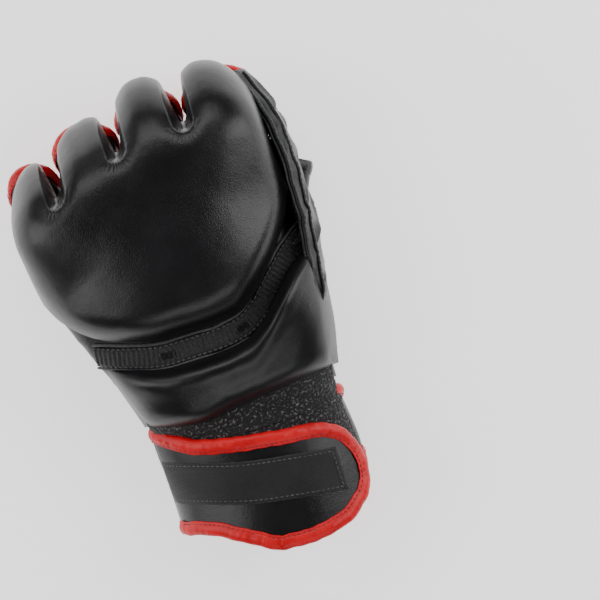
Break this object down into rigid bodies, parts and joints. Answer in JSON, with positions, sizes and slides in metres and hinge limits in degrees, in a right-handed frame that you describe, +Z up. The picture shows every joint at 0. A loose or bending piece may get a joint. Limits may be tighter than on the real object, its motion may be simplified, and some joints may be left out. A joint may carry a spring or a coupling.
{
  "type": "mma glove",
  "caption": "Open-palm left-hand grappling glove with padded knuckles, open finger loops, thumb tube and a wrap strap at the wrist.",
  "frame": {"origin": "middle of the base of the glove's box, on the surface that it lies on, palm down", "axes": "+X to the thumb side, +Y from the wrist to the fingers, +Z up through the back of the hand"},
  "size_m": [0.1426, 0.2244, 0.0844],
  "materials": {
    "black_leather": "glossy grained polyurethane leather, near black, soft grey highlights",
    "red_binding": "semi-gloss red binding tape with a darker stitch line",
    "foam": "closed-cell foam padding, matt",
    "lining": "black brushed lining cloth",
    "loop_pile": "fuzzy black loop pile with grey flecks",
    "hook_plastic": "moulded hook tape",
    "woven_band": "matt woven elastic band",
    "ribbed_band": "ribbed black stretch band",
    "stretch_fabric": "black stretch cloth",
    "thread": "twisted black sewing thread"
  },
  "bodies": {
    "hand": {"knuckle_pad_shell": "black_leather", "knuckle_pad_foam": "foam", "lower_pad_shell": "black_leather", "lower_pad_foam": "foam", "flex_rib_strip": "ribbed_band", "back_panel": "black_leather", "thumb_side_panel": "black_leather", "little_side_panel": "black_leather", "palm_panel_heel": "black_leather", "palm_panel_upper": "black_leather", "palm_opening_binding": "red_binding", "hand_lining": "lining", "thumb_seam_ring": "black_leather", "side_slit_binding": "red_binding", "bar_tacks": "thread", "wrist_gusset": "stretch_fabric", "index_flex_web": "black_leather", "middle_flex_web": "black_leather", "ring_flex_web": "black_leather", "little_flex_web": "black_leather"},
    "cuff": {"cuff_shell": "black_leather", "cuff_lining": "lining", "cuff_loop_panel": "loop_pile", "cuff_top_binding": "red_binding", "cuff_bottom_binding": "red_binding", "cuff_box_patch": "black_leather"},
    "strap": {"strap_shell": "black_leather", "strap_band": "woven_band", "strap_hook_patch": "hook_plastic", "strap_binding": "red_binding"},
    "thumb": {"thumb_tube": "black_leather", "thumb_tube_lining": "lining", "thumb_hem": "black_leather"},
    "index": {"index_lobe_shell": "black_leather", "index_lobe_foam": "foam", "index_loop": "black_leather", "index_loop_lining": "lining", "index_loop_binding": "red_binding"},
    "middle": {"middle_lobe_shell": "black_leather", "middle_lobe_foam": "foam", "middle_loop": "black_leather", "middle_loop_lining": "lining", "middle_loop_binding": "red_binding"},
    "ring": {"ring_lobe_shell": "black_leather", "ring_lobe_foam": "foam", "ring_loop": "black_leather", "ring_loop_lining": "lining", "ring_loop_binding": "red_binding"},
    "little": {"little_lobe_shell": "black_leather", "little_lobe_foam": "foam", "little_loop": "black_leather", "little_loop_lining": "lining", "little_loop_binding": "red_binding"}
  },
  "joints": [
    {"name": "wrist_flex", "type": "hinge", "parent": "hand", "child": "cuff", "pos_m": [0.00616, -0.04617, 0.032], "axis": [1, 0, 0], "range_deg": [-12, 20], "stiffness_Nm_per_rad": 1.2, "deforming": ["wrist_gusset"]},
    {"name": "strap_peel", "type": "hinge", "parent": "cuff", "child": "strap", "pos_m": [-0.03734, -0.07717, 0.026], "axis": [0, -1, 0], "range_deg": [0, 105]},
    {"name": "thumb_swing", "type": "hinge", "parent": "hand", "child": "thumb", "pos_m": [0.01816, -0.02317, 0.0112], "axis": [0, 0, -1], "range_deg": [0, 25], "stiffness_Nm_per_rad": 0.05},
    {"name": "index_curl", "type": "hinge", "parent": "hand", "child": "index", "pos_m": [0.03841, 0.07183, 0.0315], "axis": [-1, 0, 0], "range_deg": [-8, 22], "stiffness_Nm_per_rad": 0.3, "deforming": ["index_flex_web"]},
    {"name": "middle_curl", "type": "hinge", "parent": "hand", "child": "middle", "pos_m": [0.00336, 0.07183, 0.0315], "axis": [-1, 0, 0], "range_deg": [-8, 35], "stiffness_Nm_per_rad": 0.3, "deforming": ["middle_flex_web"]},
    {"name": "ring_curl", "type": "hinge", "parent": "hand", "child": "ring", "pos_m": [-0.02924, 0.06583, 0.0315], "axis": [-1, 0, 0], "range_deg": [-8, 35], "stiffness_Nm_per_rad": 0.3, "deforming": ["ring_flex_web"]},
    {"name": "little_curl", "type": "hinge", "parent": "hand", "child": "little", "pos_m": [-0.05794, 0.05483, 0.0315], "axis": [-1, 0, 0], "range_deg": [-8, 35], "stiffness_Nm_per_rad": 0.3, "deforming": ["little_flex_web"]}
  ]
}
